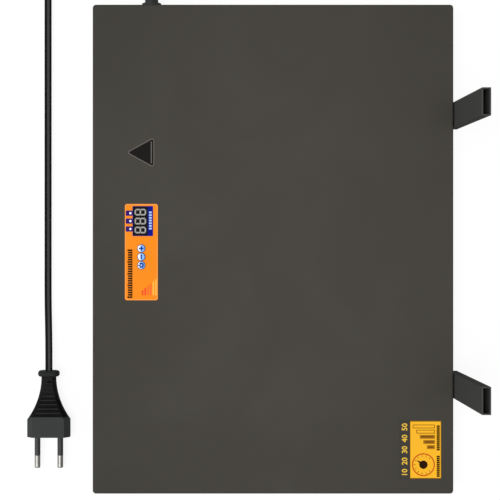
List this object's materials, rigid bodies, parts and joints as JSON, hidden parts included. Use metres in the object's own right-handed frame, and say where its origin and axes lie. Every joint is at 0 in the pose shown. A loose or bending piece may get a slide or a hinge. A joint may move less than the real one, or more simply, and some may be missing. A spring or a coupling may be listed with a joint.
{
  "type": "panel heater",
  "caption": "Flat radiant panel heater with a digital control label, push buttons, turning box-tube feet, keyholes for a wall and a mains lead with a flat two-pin plug.",
  "frame": {"origin": "on the surface that it lies on, under the middle of the heater without its lead", "axes": "+Z out of the heated front face, -X towards the heater's top edge, +X towards its feet, +Y towards the side where the lead leaves"},
  "size_m": [0.3587, 0.5478, 0.1097],
  "materials": {
    "case_paint": "fine textured powder coat",
    "foot_paint": "satin powder coat",
    "screw_steel": "zinc plated",
    "zinc_steel": "galvanised sheet",
    "spacer_rubber": "matte",
    "label_orange": "printed polyester film",
    "smoked_lens": "smoked clear plastic",
    "badge_black": "printed film",
    "notice_amber": "printed film",
    "board_green": "solder mask",
    "brass": "machined",
    "black_plastic": "moulded",
    "lamp_white": "clear white",
    "button_blue": "gloss",
    "relay_blue": "moulded",
    "can_aluminium": "sleeved can",
    "terminal_green": "moulded",
    "header_white": "moulded",
    "element_black": "laminated carbon sheet",
    "copper": "rolled strip",
    "felt": "needled felt",
    "nylon_black": "moulded",
    "wire_brown": "wire insulation",
    "wire_white": "heat-proof wire insulation",
    "cord_black": "matte sheath",
    "tie_black": "hook-and-loop strap",
    "plug_black": "moulded",
    "pin_nickel": "nickel plated"
  },
  "bodies": {
    "heater": {"front_cover": "case_paint", "rear_cover": "zinc_steel", "cover_screws": "screw_steel", "wall_spacers": "spacer_rubber", "control_label": "label_orange", "display_lens": "smoked_lens", "front_badge": "badge_black", "notice_plate": "notice_amber", "control_board": "board_green", "board_standoffs": "brass", "board_screws": "screw_steel", "display_module": "black_plastic", "indicator_lights": "lamp_white", "push_switches": "black_plastic", "relay": "relay_blue", "supply_module": "black_plastic", "filter_capacitor": "can_aluminium", "terminal_block": "terminal_green", "probe_header": "header_white", "heat_barrier": "zinc_steel", "heating_element": "element_black", "busbars": "copper", "insulation_pad": "felt", "clamp_bars": "zinc_steel", "clamp_studs": "screw_steel", "clamp_nuts": "screw_steel", "thermal_cutout": "black_plastic", "temperature_probe": "can_aluminium", "probe_lead": "wire_white", "mains_cores": "wire_brown", "element_leads": "wire_white", "foot_washers": "nylon_black", "foot_nuts": "zinc_steel", "foot_screw_left": "screw_steel", "foot_screw_right": "screw_steel", "cord_bush": "black_plastic", "cord_inside": "cord_black", "cord_tail": "cord_black", "cord_coil": "cord_black", "cord_run": "cord_black", "cord_ties": "tie_black", "plug_body": "plug_black", "plug_pins": "pin_nickel", "pin_sleeves": "black_plastic"},
    "button_power": {"button_power": "button_blue"},
    "button_minus": {"button_minus": "button_blue"},
    "button_plus": {"button_plus": "button_blue"},
    "foot_left": {"foot_left": "foot_paint"},
    "foot_right": {"foot_right": "foot_paint"}
  },
  "joints": [
    {"name": "button_power_press", "type": "slide", "parent": "heater", "child": "button_power", "axis": [0, 0, -1], "range_m": [0, 0.0004], "stiffness_N_per_m": 1000},
    {"name": "button_minus_press", "type": "slide", "parent": "heater", "child": "button_minus", "axis": [0, 0, -1], "range_m": [0, 0.0004], "stiffness_N_per_m": 1000},
    {"name": "button_plus_press", "type": "slide", "parent": "heater", "child": "button_plus", "axis": [0, 0, -1], "range_m": [0, 0.0004], "stiffness_N_per_m": 1000},
    {"name": "foot_left_turn", "type": "hinge", "parent": "heater", "child": "foot_left", "pos_m": [0.1445, -0.1122, 0.01495], "axis": [1, 0, 0], "range_deg": [-90, 0]},
    {"name": "foot_right_turn", "type": "hinge", "parent": "heater", "child": "foot_right", "pos_m": [0.1445, 0.1104, 0.01495], "axis": [1, 0, 0], "range_deg": [0, 90]}
  ]
}
